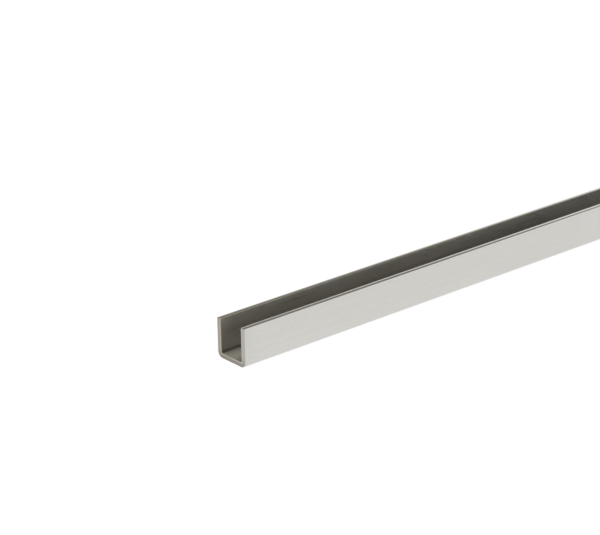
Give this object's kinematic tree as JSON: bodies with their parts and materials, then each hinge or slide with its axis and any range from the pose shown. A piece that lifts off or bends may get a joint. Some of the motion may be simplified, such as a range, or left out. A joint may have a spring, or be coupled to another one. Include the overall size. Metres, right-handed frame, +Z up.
{
  "type": "stainless steel u-channel",
  "caption": "Length of square U-section channel folded from stainless steel strip, with equal legs, rounded heels, slightly crowned leg tips and square sawn ends.",
  "frame": {"origin": "middle of the web's underside, halfway along the length and across the width", "axes": "+X along the length, +Y across the width from one leg to the other, +Z up from the web to the leg tips"},
  "size_m": [0.3048, 0.0126, 0.0127],
  "materials": {
    "stainless_steel": "satin"
  },
  "bodies": {
    "root": {"u_channel": "stainless_steel"}
  },
  "joints": []
}
